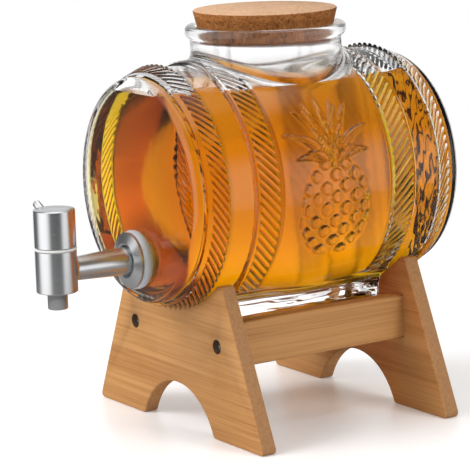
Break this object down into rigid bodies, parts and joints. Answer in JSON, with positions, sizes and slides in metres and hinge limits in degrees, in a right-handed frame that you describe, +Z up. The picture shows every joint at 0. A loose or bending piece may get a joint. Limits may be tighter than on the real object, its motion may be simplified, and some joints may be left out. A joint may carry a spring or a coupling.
{
  "type": "glass barrel drink dispenser",
  "caption": "Glass barrel drink dispenser lying on a bamboo stand, with slanted-rib hoops, a cork lid in its neck and a quarter-turn steel tap in its end.",
  "frame": {"origin": "bottom centre of the whole object's box, on the floor", "axes": "+Z up; -Y is the tap end and +Y the far end of the barrel; +X is the side with the raised fruit"},
  "size_m": [0.1918, 0.267, 0.257],
  "materials": {
    "glass": "clear pressed glass, polished",
    "cork": "pressed cork grain",
    "bamboo": "oiled bamboo strip board",
    "steel": "brushed lengthwise",
    "screw_steel": "darkened",
    "silicone": "milky translucent",
    "seal_plastic": "pale, smooth"
  },
  "bodies": {
    "stand": {"stand_board_front": "bamboo", "stand_board_rear": "bamboo", "stand_rail_left": "bamboo", "stand_rail_right": "bamboo", "stand_screws": "screw_steel"},
    "barrel": {"glass_barrel": "glass", "tap_body": "steel", "tap_spout": "steel", "cap_ring": "seal_plastic", "valve_sleeve": "seal_plastic", "seat_ring": "seal_plastic", "stem_seals": "silicone", "stem_bush": "seal_plastic", "tap_flange": "steel", "inlet_shank": "steel", "outer_washer": "silicone", "inner_washer": "silicone", "lock_nut": "steel"},
    "cork": {"cork_lid": "cork"},
    "tap_handle": {"tap_cap": "steel", "cap_set_screw": "steel", "lever_pin": "steel", "valve_stem": "steel", "valve_plug": "steel"}
  },
  "joints": [
    {"name": "barrel_lift", "type": "slide", "parent": "stand", "child": "barrel", "axis": [0, 0, 1], "range_m": [0, 0.06]},
    {"name": "cork_lift", "type": "slide", "parent": "barrel", "child": "cork", "axis": [0, 0, 1], "range_m": [0, 0.05]},
    {"name": "tap_turn", "type": "hinge", "parent": "barrel", "child": "tap_handle", "pos_m": [0, -0.12065, 0.135], "axis": [0, 0, 1], "range_deg": [0, 90]}
  ]
}
